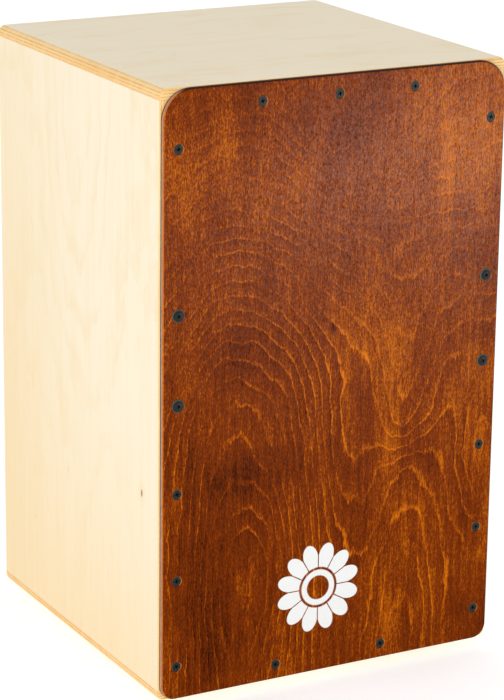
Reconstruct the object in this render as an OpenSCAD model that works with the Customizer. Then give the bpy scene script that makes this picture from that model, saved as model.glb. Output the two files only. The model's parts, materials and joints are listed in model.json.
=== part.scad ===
// Box drum: a plywood box with a thin screwed-on front plate, a round sound
// hole at the back, rubber feet and a snare bar that turns behind the plate.
// X runs to the right as seen from the front, Y to the back and Z up. The
// origin is on the floor, in the middle of the object.

/* [Box] */
// Width over the side panels
body_w = 300; // [260:0.5:340]
// Depth of the box behind the front plate
body_d = 294.5; // [240:0.5:340]
// Height of the box without its feet
body_h = 481.5; // [460:0.5:520]
// Thickness of the top, bottom and side panels
panel_t = 8.5; // [7:0.5:12]
// Roundover on the side, back, top and bottom edges
edge_r = 6; // [2:0.5:6]
// Roundover on the edges that meet the front plate
front_edge_r = 2; // [0.5:0.5:3]

/* [Back] */
// Thickness of the back panel
back_t = 5; // [3:0.5:9]
// Diameter of the sound hole
sound_hole_d = 120; // [80:1:150]
// Height of the sound hole's centre above the underside of the box
sound_hole_z = 306; // [240:1:340]
// Side of the square battens behind the back panel
rear_batten = 15; // [12:1:20]

/* [Front plate] */
// Width of the front plate
plate_w = 297; // [250:0.5:340]
// Height of the front plate
plate_h = 480; // [450:0.5:520]
// Thickness of the front plate
plate_t = 4; // [3:0.5:5]
// Height of the plate's lower edge above the underside of the box
plate_z = 0.8; // [0:0.1:4]
// Radius of the plate's upper corners
plate_top_r = 24; // [8:1:40]
// Radius of the plate's lower corners
plate_bottom_r = 12; // [5:1:30]
// Roundover on the plate's front edge
plate_edge_r = 2; // [0.5:0.1:2.4]
// Side of the square battens behind the front plate
front_batten = 20; // [18:1:26]
// Chamfer along the edges of battens, bearing blocks and the snare bar's ends
batten_chamfer = 1; // [0.5:0.5:2]

/* [Plate screws] */
// Diameter of the countersunk heads
screw_head_d = 7.8; // [6:0.1:9]
// Diameter of the screws' shanks
screw_d = 3.4; // [2.8:0.1:4]
// Length of the screws
screw_l = 22; // [16:1:22]
// Distance from the middle to each side row
side_row_x = 135.7; // [130:0.1:138]
// Height of the lowest screw in a side row
side_row_z = 28; // [24:1:40]
// Spacing of the five lower screws in a side row
side_row_pitch = 70.4; // [64:0.1:72]
// Distance from the top of the box to the highest screw in a side row
side_row_top = 45.5; // [40:0.5:60]
// Spacing of the screws in the top row
top_row_pitch = 66; // [40:1:80]
// Distance from the top of the box to the top row
top_row_drop = 15.5; // [14:0.5:20]
// Spacing of the screws in the bottom row
bottom_row_pitch = 96; // [60:1:160]
// Height of the bottom row above the underside of the box
bottom_row_z = 13.2; // [12:0.1:20]

/* [Snares] */
// Diameter of the dome headed screws that hold the bearing blocks
dome_head_d = 10; // [8:0.5:12]
// How far the domed heads stand off the plate
dome_h = 1.8; // [1:0.1:3]
// Diameter of the domed screws' shanks
dome_screw_d = 4.2; // [3.5:0.1:5]
// Length of the domed screws' shanks
dome_screw_l = 32; // [24:1:34]
// Width of a bearing block
block_w = 30; // [26:1:36]
// Depth of a bearing block
block_d = 32; // [30:1:40]
// Height of a bearing block
block_h = 100; // [90:1:110]
// Diameter of the snare bar
bar_d = 18; // [16:1:20]
// Distance from the plate's back to the snare bar's axis
bar_y = 16; // [15:0.5:18]
// Depth of the bar's seat in each block
bar_seat = 12; // [8:1:14]
// Number of strands in a snare set
strand_count = 10; // [6:1:10]
// Spacing of the strands
strand_pitch = 4.2; // [3:0.1:4.4]
// Outer diameter of a strand
strand_d = 2; // [1.6:0.1:2.2]
// Length of the strands
strand_l = 128; // [80:1:140]
// Distance from the middle to the middle of a snare set
set_x = 58; // [45:1:70]

/* [Feet] */
// Diameter of a foot where it meets the box
foot_d = 25; // [18:1:34]
// Height of a foot
foot_h = 8; // [7:0.5:10]
// Distance from the box's sides, front and back to the middle of a foot
foot_inset = 42; // [30:1:60]

/* [Hidden] */
$fn = 64;

// The box's faces
overall_d = dome_h + plate_t + body_d;
back_y = overall_d / 2;
front_y = back_y - body_d;
plate_face_y = front_y - plate_t;
side_x = body_w / 2;
inner_x = side_x - panel_t;
base_z = foot_h;
top_z = base_z + body_h;
floor_z = base_z + panel_t;
ceiling_z = top_z - panel_t;
past = 1;

// Play between a screw and its hole, and between the bar and its seats
screw_play = 0.05;
bar_play = 0.05;

// Screw places
low_screws = 3;
block_screws = 2;
function side_row_height(i) = base_z + side_row_z + i * side_row_pitch;
side_plate_screws = concat(
    [for (i = [0 : low_screws - 1]) side_row_height(i)],
    [top_z - side_row_top]);
side_block_screws = [for (i = [low_screws : low_screws + block_screws - 1]) side_row_height(i)];
top_row = [for (i = [-1 : 1]) [i * top_row_pitch, top_z - top_row_drop]];
bottom_row = [for (side = [-1, 1]) [side * bottom_row_pitch / 2, base_z + bottom_row_z]];
side_rows = [for (side = [-1, 1], z = side_plate_screws) [side * side_row_x, z]];
plate_screw_places = concat(side_rows, top_row, bottom_row);
block_screw_places = [for (side = [-1, 1], z = side_block_screws) [side * side_row_x, z]];

// Countersunk heads lie a little below the plate's face
head_drop = 0.25;
head_l = 2.4;
head_slope = (screw_head_d - screw_d) / 2 / head_l;
sink_rim = 0.35;
plate_hole_r = screw_d / 2 + 0.2;
tip_l = 4;
tip_r = 0.3;

// Snare bar and what it carries
bar_z = (side_block_screws[0] + side_block_screws[1]) / 2;
bar_axis_y = front_y + bar_y;
block_z = bar_z - block_h / 2;
block_x = inner_x - block_w;
bar_end_gap = 0.5;
bar_l = 2 * (block_x + bar_seat - bar_end_gap);
seat_flat = bar_d / 2 - 1;
clip_w = 62;
clip_h = 13;
clip_t = 3.4;
clip_ear_t = 0.7;
clip_ear_w = 8.5;
clip_y = bar_axis_y - seat_flat;
clip_screw_x = clip_w / 2 - 4.4;
clip_screw_d = 2.8;
clip_screw_l = 11;
strand_gap = 0.3;
strand_foot_z = bar_z - 5;
strand_foot_y = clip_y - clip_t / 2;
strand_tip_y = front_y + strand_gap + strand_d / 2;
strand_lean = asin((strand_foot_y - strand_tip_y) / strand_l);

// Feet
foot_places = [for (x = [-1, 1], y = [-1, 1]) [x, y]];
foot_x = side_x - foot_inset;
foot_front_y = front_y + foot_inset;
foot_back_y = back_y - foot_inset;
foot_well_d = 11;
foot_well_h = 4.5;
foot_screw_d = 3.6;
foot_screw_l = 11;

// Outline with one radius on its lower corners and one on its upper corners
module rounded_outline(w, h, low_r, high_r) {
    translate([-w / 2, low_r]) square([w, h - low_r - high_r]);
    translate([-w / 2 + low_r, 0]) square([w - 2 * low_r, h - high_r]);
    translate([-w / 2 + high_r, low_r]) square([w - 2 * high_r, h - low_r]);
    for (side = [-1, 1]) {
        translate([side * (w / 2 - low_r), low_r]) circle(r = low_r);
        translate([side * (w / 2 - high_r), h - high_r]) circle(r = high_r);
    }
}

// The whole box with its outer edges rounded over
module rounded_body() {
    intersection() {
        translate([0, front_y, base_z])
            linear_extrude(body_h) rounded_outline(body_w, body_d, front_edge_r, edge_r);
        translate([0, back_y, base_z]) rotate([90, 0, 0])
            linear_extrude(body_d) rounded_outline(body_w, body_h, edge_r, edge_r);
        translate([-side_x, front_y, base_z + body_h / 2]) rotate([90, 0, 90])
            linear_extrude(body_w) rotate(-90)
                rounded_outline(body_h, body_d, front_edge_r, edge_r);
    }
}

// Top or bottom panel: a slice of the rounded body, z from low to high
module body_slice(low, high) {
    intersection() {
        rounded_body();
        translate([-side_x - past, front_y - past, low])
            cube([body_w + 2 * past, body_d + 2 * past, high - low]);
    }
}

module top_panel() {
    color([0.86, 0.80, 0.70]) body_slice(ceiling_z, top_z + past);
}

module bottom_panel() {
    color([0.90, 0.80, 0.60]) difference() {
        body_slice(base_z - past, floor_z);
        for (place = foot_places) at_foot(place)
            cylinder(h = foot_screw_l - foot_grip() + past, d = foot_screw_d + 2 * screw_play);
    }
}

// Side panel between the top and bottom panels; side is -1 or 1
module side_panel(side) {
    color([0.97, 0.91, 0.78]) intersection() {
        rounded_body();
        translate([side > 0 ? inner_x : -side_x - past, front_y - past, floor_z])
            cube([panel_t + past, body_d + 2 * past, ceiling_z - floor_z]);
    }
}

module left_side_panel() { side_panel(-1); }

module right_side_panel() { side_panel(1); }

// Thin panel let in flush between the four box panels
module back_panel() {
    color([0.93, 0.85, 0.70]) difference() {
        translate([-inner_x, back_y - back_t, floor_z])
            cube([2 * inner_x, back_t, ceiling_z - floor_z]);
        translate([0, back_y + past, base_z + sound_hole_z]) rotate([90, 0, 0])
            cylinder(h = back_t + 2 * past, d = sound_hole_d);
    }
}

// Plate lying in the XZ plane, its back at y = 0 and its front edge rounded over
module rounded_plate() {
    inset = plate_edge_r;
    rotate([90, 0, 0]) {
        linear_extrude(plate_t - plate_edge_r)
            rounded_outline(plate_w, plate_h, plate_bottom_r, plate_top_r);
        translate([0, inset]) linear_extrude(plate_t)
            rounded_outline(plate_w - 2 * inset, plate_h - 2 * inset,
                            plate_bottom_r - inset, plate_top_r - inset);
        for (side = [-1, 1]) {
            plate_corner(side, plate_bottom_r, plate_bottom_r);
            plate_corner(side, plate_top_r, plate_h - plate_top_r);
            translate([side * (plate_w / 2 - inset), plate_bottom_r, plate_t - plate_edge_r])
                rotate([-90, 0, 0])
                    cylinder(h = plate_h - plate_bottom_r - plate_top_r, r = plate_edge_r);
        }
        plate_rail(plate_bottom_r, inset);
        plate_rail(plate_top_r, plate_h - inset);
    }
}

// Ring that rounds the plate's edge at a corner
module plate_corner(side, r, y) {
    translate([side * (plate_w / 2 - r), y, plate_t - plate_edge_r])
        rotate_extrude() translate([r - plate_edge_r, 0]) circle(r = plate_edge_r);
}

// Rod that rounds the plate's upper or lower edge between its corners
module plate_rail(r, y) {
    translate([-plate_w / 2 + r, y, plate_t - plate_edge_r]) rotate([0, 90, 0])
        cylinder(h = plate_w - 2 * r, r = plate_edge_r);
}

module front_plate() {
    color([0.52, 0.25, 0.10]) difference() {
        translate([0, front_y, base_z + plate_z]) rounded_plate();
        for (place = plate_screw_places) translate([place.x, plate_face_y, place.y]) countersink();
        for (place = block_screw_places) translate([place.x, front_y + past, place.y])
            rotate([90, 0, 0]) cylinder(h = plate_t + 2 * past, d = dome_screw_d + 0.4);
    }
}

// Countersunk hole cut from y = 0 towards the back
module countersink() {
    sink_r = screw_head_d / 2 + sink_rim;
    sink_l = (sink_r - plate_hole_r) / head_slope;
    rotate([90, 0, 0]) {
        translate([0, 0, -sink_l])
            cylinder(h = sink_l + past, r1 = plate_hole_r, r2 = sink_r + past * head_slope);
        translate([0, 0, -plate_t - past]) cylinder(h = plate_t + past, r = plate_hole_r);
    }
}

// Hole that a plate screw cuts in the wood behind the plate
module screw_hole(place) {
    depth = screw_l + head_drop - plate_t + screw_play;
    translate([place.x, front_y + depth, place.y]) rotate([90, 0, 0])
        cylinder(h = depth + past, d = screw_d + 2 * screw_play);
}

// Square stick from z = 0 to z = l with its four long edges chamfered
module chamfered_stick(w, d, l) {
    c = batten_chamfer;
    linear_extrude(l) polygon([[c, 0], [w - c, 0], [w, c], [w, d - c],
                               [w - c, d], [c, d], [0, d - c], [0, c]]);
}

// Batten from its low corner, as long as its longer side, with a hole for each screw in the list
module pine_batten(corner, size, screws = []) {
    color([0.86, 0.74, 0.53]) difference() {
        translate(corner)
            if (size.z > size.x) chamfered_stick(size.x, size.y, size.z);
            else translate([0, 0, size.z]) rotate([0, 90, 0]) chamfered_stick(size.z, size.y, size.x);
        for (place = screws) screw_hole(place);
    }
}

// Length of the battens that lie between the two side battens
front_span = 2 * (inner_x - front_batten);
rear_span = 2 * (inner_x - rear_batten);
rear_y = back_y - back_t - rear_batten;

module front_top_batten() {
    pine_batten([-front_span / 2, front_y, ceiling_z - front_batten],
                [front_span, front_batten, front_batten], top_row);
}

module front_bottom_batten() {
    pine_batten([-front_span / 2, front_y, floor_z],
                [front_span, front_batten, front_batten], bottom_row);
}

// Side batten above or below the bearing block
module front_side_batten(side, low, high) {
    pine_batten([side > 0 ? inner_x - front_batten : -inner_x, front_y, low],
                [front_batten, front_batten, high - low],
                [for (place = side_rows)
                    if (place.x * side > 0 && place.y > low && place.y < high) place]);
}

module front_left_upper_batten() { front_side_batten(-1, block_z + block_h, ceiling_z); }

module front_left_lower_batten() { front_side_batten(-1, floor_z, block_z); }

module front_right_upper_batten() { front_side_batten(1, block_z + block_h, ceiling_z); }

module front_right_lower_batten() { front_side_batten(1, floor_z, block_z); }

module rear_top_batten() {
    pine_batten([-rear_span / 2, rear_y, ceiling_z - rear_batten],
                [rear_span, rear_batten, rear_batten]);
}

module rear_bottom_batten() {
    pine_batten([-rear_span / 2, rear_y, floor_z], [rear_span, rear_batten, rear_batten]);
}

module rear_left_batten() {
    pine_batten([-inner_x, rear_y, floor_z],
                [rear_batten, rear_batten, ceiling_z - floor_z]);
}

module rear_right_batten() {
    pine_batten([inner_x - rear_batten, rear_y, floor_z],
                [rear_batten, rear_batten, ceiling_z - floor_z]);
}

// Block between the two side battens, with the blind seat that the bar turns in
module bearing_block(side) {
    color([0.80, 0.63, 0.42]) difference() {
        translate([side > 0 ? block_x : -inner_x, front_y, block_z])
            chamfered_stick(block_w, block_d, block_h);
        translate([side * (block_x + bar_seat), bar_axis_y, bar_z]) rotate([0, -side * 90, 0])
            cylinder(h = bar_seat + past, d = bar_d + 2 * bar_play);
        for (place = block_screw_places) if (place.x * side > 0)
            translate([place.x, front_y + dome_hole_l(), place.y]) rotate([90, 0, 0])
                cylinder(h = dome_hole_l() + past, d = dome_screw_d + 2 * screw_play);
    }
}

function dome_hole_l() = dome_screw_l - plate_t + screw_play;

module left_bearing_block() { bearing_block(-1); }

module right_bearing_block() { bearing_block(1); }

// Round rod from z = 0 to z = l with its ends chamfered
module chamfered_rod(d, l) {
    c = batten_chamfer;
    cylinder(h = c, d1 = d - 2 * c, d2 = d);
    translate([0, 0, c]) cylinder(h = l - 2 * c, d = d);
    translate([0, 0, l - c]) cylinder(h = c, d1 = d, d2 = d - 2 * c);
}

// Turned beech bar with a flat milled for each snare clip
module snare_bar() {
    color([0.88, 0.72, 0.50]) difference() {
        translate([-bar_l / 2, bar_axis_y, bar_z]) rotate([0, 90, 0]) chamfered_rod(bar_d, bar_l);
        for (side = [-1, 1]) {
            translate([side * set_x - clip_w / 2 - past, clip_y - bar_d, bar_z - bar_d])
                cube([clip_w + 2 * past, bar_d, 2 * bar_d]);
            at_clip_screws(side)
                translate([0, 0, -clip_screw_l - screw_play])
                    cylinder(h = clip_screw_l + past, d = clip_screw_d + 2 * screw_play);
        }
    }
}

// Under the heads of one clip's two screws, with +Z out of the clip's face
module at_clip_screws(side) {
    for (end = [-1, 1])
        translate([side * set_x + end * clip_screw_x, clip_y - clip_ear_t, bar_z])
            rotate([90, 0, 0]) children();
}

// The strands of one set, each a straight rod that leans towards the plate
module strands(side, d, l) {
    first = -(strand_count - 1) / 2;
    for (i = [0 : strand_count - 1])
        translate([side * set_x + (first + i) * strand_pitch, strand_foot_y, strand_foot_z])
            rotate([strand_lean, 0, 0]) cylinder(h = l, d = d, $fn = 24);
}

// Folded steel clip: a thick middle that grips the strands and a thin ear at each end
module snare_clip(side) {
    grip_w = clip_w - 2 * clip_ear_w;
    color([0.74, 0.75, 0.77]) difference() {
        union() {
            translate([side * set_x - clip_w / 2, clip_y - clip_ear_t, bar_z - clip_h / 2])
                cube([clip_w, clip_ear_t, clip_h]);
            translate([side * set_x - grip_w / 2, clip_y - clip_t, bar_z - clip_h / 2])
                cube([grip_w, clip_t, clip_h]);
        }
        strands(side, strand_d + 2 * screw_play, strand_l);
        at_clip_screws(side) translate([0, 0, -clip_ear_t - past])
            cylinder(h = clip_ear_t + 2 * past, d = clip_screw_d + 0.3);
    }
}

module left_snare_clip() { snare_clip(-1); }

module right_snare_clip() { snare_clip(1); }

module left_snare_strands() { color([0.78, 0.79, 0.81]) strands(-1, strand_d, strand_l); }

module right_snare_strands() { color([0.78, 0.79, 0.81]) strands(1, strand_d, strand_l); }

// Cross recess cut into a head whose top is at z = 0
module cross_recess(reach, depth) {
    for (turn = [0, 90]) rotate(turn)
        translate([-reach / 2, -reach / 8, -depth]) cube([reach, reach / 4, depth + past]);
}

// Shank that points down from z = 0 and ends in a cone
module shank(d, l) {
    translate([0, 0, -l + tip_l]) cylinder(h = l - tip_l, d = d);
    translate([0, 0, -l]) cylinder(h = tip_l, r1 = tip_r, r2 = d / 2);
}

module countersunk_screw() {
    difference() {
        union() {
            translate([0, 0, -head_l])
                cylinder(h = head_l, r1 = screw_d / 2, r2 = screw_head_d / 2);
            shank(screw_d, screw_l);
        }
        cross_recess(screw_head_d * 0.56, 1.7);
    }
}

// Screw whose domed head rises above z = 0
module dome_screw(head_d, head_h, d, l) {
    dome_r = (head_d * head_d / 4 + head_h * head_h) / (2 * head_h);
    difference() {
        union() {
            intersection() {
                cylinder(h = head_h + past, d = head_d);
                translate([0, 0, head_h - dome_r]) sphere(r = dome_r);
            }
            shank(d, l);
        }
        translate([0, 0, head_h]) cross_recess(head_d * 0.5, head_h + 0.4);
    }
}

module front_plate_screws() {
    color([0.16, 0.17, 0.16]) for (place = plate_screw_places)
        translate([place.x, plate_face_y + head_drop, place.y]) rotate([90, 0, 0])
            countersunk_screw();
}

module bearing_block_screws() {
    color([0.18, 0.19, 0.18]) for (place = block_screw_places)
        translate([place.x, plate_face_y, place.y]) rotate([90, 0, 0])
            dome_screw(dome_head_d, dome_h, dome_screw_d, dome_screw_l);
}

module snare_clip_screws() {
    color([0.70, 0.70, 0.72]) for (side = [-1, 1]) at_clip_screws(side)
        dome_screw(5.4, 1.6, clip_screw_d, clip_screw_l);
}

// Middle of a foot's top face; place is [-1 or 1, -1 or 1] for left or right, front or rear
module at_foot(place) {
    translate([place.x * foot_x, place.y > 0 ? foot_back_y : foot_front_y, base_z]) children();
}

// Length of the foot screw that lies inside the rubber
function foot_grip() = foot_h - foot_well_h;

// Tapered rubber foot with a well for its screw's head
module foot(place) {
    color([0.10, 0.10, 0.10]) at_foot(place) difference() {
        translate([0, 0, -foot_h]) cylinder(h = foot_h, d1 = foot_d - 3, d2 = foot_d);
        translate([0, 0, -foot_h - past]) cylinder(h = foot_well_h + past, d = foot_well_d);
        translate([0, 0, -foot_h]) cylinder(h = foot_h + past, d = foot_screw_d + 2 * screw_play);
    }
}

module front_left_foot() { foot([-1, -1]); }

module front_right_foot() { foot([1, -1]); }

module rear_left_foot() { foot([-1, 1]); }

module rear_right_foot() { foot([1, 1]); }

module foot_screws() {
    color([0.62, 0.62, 0.64]) for (place = foot_places) at_foot(place)
        translate([0, 0, -foot_grip()]) rotate([180, 0, 0])
            dome_screw(8, 2.4, foot_screw_d, foot_screw_l);
}

top_panel();
bottom_panel();
left_side_panel();
right_side_panel();
back_panel();
front_plate();
front_top_batten();
front_bottom_batten();
front_left_upper_batten();
front_left_lower_batten();
front_right_upper_batten();
front_right_lower_batten();
rear_top_batten();
rear_bottom_batten();
rear_left_batten();
rear_right_batten();
left_bearing_block();
right_bearing_block();
snare_bar();
left_snare_clip();
right_snare_clip();
left_snare_strands();
right_snare_strands();
snare_clip_screws();
front_plate_screws();
bearing_block_screws();
front_left_foot();
front_right_foot();
rear_left_foot();
rear_right_foot();
foot_screws();
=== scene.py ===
"""Finishes a packed box drum: plywood boards, a stained front plate, snare coils, screws and rubber feet."""

import json
import math
import random

import bpy
from bpy.props import FloatProperty, FloatVectorProperty, IntProperty, PointerProperty
from mathutils import Matrix, Vector


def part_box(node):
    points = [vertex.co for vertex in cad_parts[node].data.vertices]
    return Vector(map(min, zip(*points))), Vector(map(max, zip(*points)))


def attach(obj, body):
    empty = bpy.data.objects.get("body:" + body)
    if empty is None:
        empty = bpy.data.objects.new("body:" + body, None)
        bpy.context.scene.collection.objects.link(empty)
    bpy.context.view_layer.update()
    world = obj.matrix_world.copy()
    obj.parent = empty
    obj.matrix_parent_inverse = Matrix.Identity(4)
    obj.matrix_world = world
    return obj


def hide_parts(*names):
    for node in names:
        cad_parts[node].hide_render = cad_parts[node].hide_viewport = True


bl_info = {
    "name": "Box drum finisher",
    "version": (1, 0, 0),
    "blender": (4, 5, 0),
    "location": "3D View > Sidebar > Box drum",
    "description": "Models and finishes the pieces of a plywood box drum",
    "category": "Object",
}

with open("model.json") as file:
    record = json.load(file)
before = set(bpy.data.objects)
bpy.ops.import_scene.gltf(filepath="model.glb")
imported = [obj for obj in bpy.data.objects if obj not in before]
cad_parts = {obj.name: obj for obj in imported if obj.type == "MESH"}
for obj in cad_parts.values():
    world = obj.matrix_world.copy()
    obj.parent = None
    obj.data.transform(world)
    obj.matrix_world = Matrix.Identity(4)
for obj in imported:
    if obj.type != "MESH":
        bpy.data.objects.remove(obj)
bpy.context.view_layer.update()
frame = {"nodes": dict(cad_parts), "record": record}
MM = 0.001
X, Y, Z = range(3)
# Points within TOUCH of each other are taken as one, and a cutter reaches PAST the faces that it cuts
TOUCH = 0.01 * MM
PAST = 1 * MM
# FORWARD turns +Z to the front
FORWARD = Matrix.Rotation(math.pi / 2, 4, "X")
UPSIDE_DOWN = Matrix.Rotation(math.pi, 4, "X")
BODY = {node: body for body, nodes in frame["record"]["behaviour"]["bodies"].items() for node in nodes}
SLOT = {row["node"]: row["material_slot"] for row in frame["record"]["subparts"]}


def linear(red, green, blue):
    """An sRGB colour given from 0 to 255 as a linear colour."""
    def one(part):
        part /= 255
        return part / 12.92 if part <= 0.04045 else ((part + 0.055) / 1.055) ** 2.4
    return one(red), one(green), one(blue)


def length(name, description, default):
    """A size property in millimetres."""
    return FloatProperty(name=name, description=description, default=default * MM, min=0.0, unit="LENGTH",
                         precision=5)


def tint(name, description, *default):
    """A colour property from an sRGB colour."""
    return FloatVectorProperty(name=name, description=description, default=linear(*default), subtype="COLOR",
                               size=3, min=0.0, max=1.0)


# ---- Sizes and colours ----


class DrumBoards(bpy.types.PropertyGroup):
    edge_round: length("Edge rounding", "Radius on the outer edges of the sides, back, top and bottom", 6)
    front_round: length("Front rounding", "Radius on the edges that meet the front plate", 2)
    arris: length("Arris", "Small bevel on the edges that meet another board", 0.45)
    rim_round: length("Sound hole rim", "Radius on the rim of the sound hole", 1.2)
    plies: IntProperty(name="Plies", description="Layers in a thick board", default=7, min=3, max=13)
    back_plies: IntProperty(name="Back plies", description="Layers in the back panel", default=5, min=3,
                            max=9)
    face: tint("Face", "Birch face veneer under clear lacquer", 248, 235, 208)
    growth: tint("Growth line", "Late wood in the face veneer", 239, 212, 160)
    # warm_tone_and_shade: yellower, darker face where the zones lie, partly the veneer's own tone and partly
    # painted shade toward the back and bottom of the left board
    warm_tone_and_shade: tint("Warm zone", "Face veneer where it is yellower", 244, 216, 166)
    long_grain: tint("Long grain edge", "Ply edge cut along its grain", 250, 222, 166)
    end_grain: tint("End grain edge", "Ply edge cut across its grain", 236, 168, 74)
    glue: tint("Glue line", "Line between two plies", 196, 130, 52)
    knot: tint("Pin knot", "Middle of a pin knot", 132, 78, 34)


class DrumPlate(bpy.types.PropertyGroup):
    top_corner: length("Top corners", "Radius of the upper corners", 24)
    bottom_corner: length("Bottom corners", "Radius of the lower corners", 12)
    edge_round: length("Edge rounding", "Radius on the front edge", 2)
    rim: length("Countersink rim", "Bare ring left round a countersunk head", 0.35)
    hole: length("Screw hole", "Diameter of the countersunk screws' holes", 3.8)
    dome_hole: length("Large hole", "Diameter of the dome headed screws' holes", 4.6)
    dark: tint("Dark stain", "Deepest tone of the stained face", 42, 9, 0)
    mid: tint("Stain", "Middle tone of the stained face", 128, 50, 1)
    light: tint("Light stain", "Lightest tone of the stained face", 226, 122, 8)
    # painted_sheen is a painted reflection: a whitish lacquer sheen painted into the plate's colour
    painted_sheen: tint("Painted sheen", "Bloom in the lacquer", 178, 142, 130)
    # The core and arris_highlight colours fall only on the plate's left edge, which faces the key light: the
    # grey core colour is a painted reflection of the bright surroundings, and the arris colour is a lighter
    # worn arris that is also a painted highlight
    core: tint("Core edge", "Edge of the middle layer", 180, 146, 134)
    arris_highlight: tint("Arris", "Worn edge of the outer layers", 216, 122, 40)
    mark: tint("Mark", "Printed rosette", 240, 242, 240)
    mark_radius: length("Mark radius", "Radius of the printed rosette", 37)


class DrumScrews(bpy.types.PropertyGroup):
    head: length("Head", "Diameter of the countersunk heads", 7.8)
    head_depth: length("Head depth", "Depth of the countersunk heads", 2.4)
    shank: length("Shank", "Diameter of the countersunk screws' shanks", 3.4)
    dome_shank: length("Large shank", "Diameter of the dome headed screws' shanks", 4.2)
    pitch: length("Thread pitch", "Distance between two turns of a thread", 1.5)
    recess: length("Cross recess", "Reach of the cross recess in the plate's screws", 4.4)
    slot: length("Recess slot", "Width of the slots of the countersunk screws' recess", 0.95)
    slot_depth: length("Recess depth", "Depth of the countersunk screws' recess", 2)
    flange: FloatProperty(name="Flange", description="Rim's share of the dome headed screws' heads",
                          default=0.26)
    black: tint("Black finish", "Blackened steel", 22, 26, 20)
    worn: tint("Worn black", "Blackened steel where it is rubbed", 112, 120, 110)


class DrumSnares(bpy.types.PropertyGroup):
    coil: length("Coil", "Outer diameter of a strand", 2)
    wire: length("Wire", "Diameter of the strands' wire", 0.5)
    pitch: length("Coil pitch", "Distance between two turns of a strand", 1.3)
    sheet: length("Clip sheet", "Thickness of the folded clips", 0.7)
    ear: length("Clip ear", "Length of the ear at each end of a clip", 8.5)
    ear_hole: length("Ear hole", "Diameter of the hole in an ear", 3.1)
    corner: length("Clip corner", "Radius of a clip's corners", 3)
    screw: length("Clip screw", "Diameter of the clips' screws' shanks", 2.8)
    screw_pitch: length("Clip screw pitch", "Distance between two turns of a clip screw's thread", 1.1)
    recess: length("Clip screw recess", "Reach of the cross recess in the clips' screws", 2.6)
    steel: tint("Steel", "Zinc plated steel", 196, 198, 202)
    wire_tone: tint("Wire steel", "Drawn steel wire", 186, 187, 190)


class DrumFeet(bpy.types.PropertyGroup):
    lip: length("Lower rounding", "Radius on a foot's lower edge", 1.6)
    well: length("Well", "Diameter of the well for the screw's head", 11)
    well_depth: length("Well depth", "Depth of the well for the screw's head", 4.5)
    well_lip: length("Well rounding", "Radius on the well's rim", 0.7)
    taper: length("Taper", "How much smaller a foot's radius is at the floor", 1.5)
    hole: length("Screw hole", "Diameter of the hole for the screw", 4)
    screw: length("Foot screw", "Diameter of the feet's screws' shanks", 3.6)
    screw_pitch: length("Foot screw pitch", "Distance between two turns of a foot screw's thread", 1.4)
    recess: length("Foot screw recess", "Reach of the cross recess in the feet's screws", 4)
    rubber: tint("Rubber", "Moulded rubber", 34, 34, 35)


class DrumWoods(bpy.types.PropertyGroup):
    pine: tint("Pine", "Early wood of the pine battens", 232, 204, 156)
    pine_ring: tint("Pine ring", "Late wood of the pine battens", 204, 156, 98)
    beech: tint("Beech", "Steamed beech", 214, 172, 126)
    beech_fleck: tint("Beech fleck", "Ray flecks of the beech", 160, 108, 66)


class DrumStage(bpy.types.PropertyGroup):
    lens: FloatProperty(name="Lens", description="Focal length of the camera in millimetres", default=144.1)
    floor: tint("Floor", "Pale studio floor", 244, 244, 244)
    glow: FloatProperty(name="Floor glow", description="How much the floor is lit from below", default=0.39)
    sky: FloatProperty(name="Surrounding light", description="Strength of the white surroundings",
                       default=0.76)
    key: FloatProperty(name="Key light", description="Power of the large light at the front left", default=11,
                       unit="POWER")
    sheen: FloatProperty(name="Sheen light", description="Power of the low light that the plate mirrors",
                         default=4, unit="POWER")


# ---- Places read from the frame ----


def solids(node):
    """The (low, high) box of each separate solid in a CAD node, from the lowest up and from the left."""
    mesh = frame["nodes"][node].data
    keys = [tuple(round(part / TOUCH) for part in vertex.co) for vertex in mesh.vertices]
    parent = {key: key for key in keys}

    def root(key):
        while parent[key] != key:
            parent[key] = parent[parent[key]]
            key = parent[key]
        return key

    for face in mesh.polygons:
        first = root(keys[face.vertices[0]])
        for index in face.vertices[1:]:
            parent[root(keys[index])] = first
    groups = {}
    for key, vertex in zip(keys, mesh.vertices):
        groups.setdefault(root(key), []).append(vertex.co)
    boxes = [(Vector(map(min, zip(*group))), Vector(map(max, zip(*group)))) for group in groups.values()]
    return sorted(boxes, key=lambda box: (round(box[0].z / MM), box[0].x))


def middle(corners):
    """The middle of a (low, high) box."""
    low, high = corners
    return (low + high) / 2


# ---- Modelling ----


def only(*pieces):
    """Leaves just these pieces selected, with the first one active."""
    bpy.ops.object.select_all(action="DESELECT")
    for piece in pieces:
        piece.select_set(True)
    bpy.context.view_layer.objects.active = pieces[0] if pieces else None


def named(piece, name):
    """A piece with its name given to it and to its mesh."""
    piece.name = name
    piece.data.name = name
    return piece


def added(name):
    """The object that an add operator has just made, named and with its place in its mesh."""
    bpy.ops.object.transform_apply(location=True, rotation=True, scale=True)
    return named(bpy.context.active_object, name)


def block(name, low, high):
    """A rectangular block between two corners."""
    only()
    bpy.ops.mesh.primitive_cube_add(size=1, location=middle((low, high)))
    bpy.context.active_object.scale = high - low
    return added(name)


def choose(piece, kind, test):
    """Opens a piece in edit mode with just those vertices, edges or polygons selected that pass the test."""
    only(piece)
    mesh = piece.data
    kinds = ("vertices", "edges", "polygons")
    bpy.context.tool_settings.mesh_select_mode = [kind == other for other in kinds]
    for other in kinds:
        parts = getattr(mesh, other)
        parts.foreach_set("select", [False] * len(parts))
    for part in getattr(mesh, kind):
        part.select = test([mesh.vertices[index].co for index in part.vertices])
    bpy.ops.object.mode_set(mode="EDIT")


def done():
    """Leaves edit mode."""
    bpy.ops.object.mode_set(mode="OBJECT")


def lies(axis, value):
    """A test that all corners lie at one height along an axis."""
    return lambda corners: all(abs(corner[axis] - value) < TOUCH for corner in corners)


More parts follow.
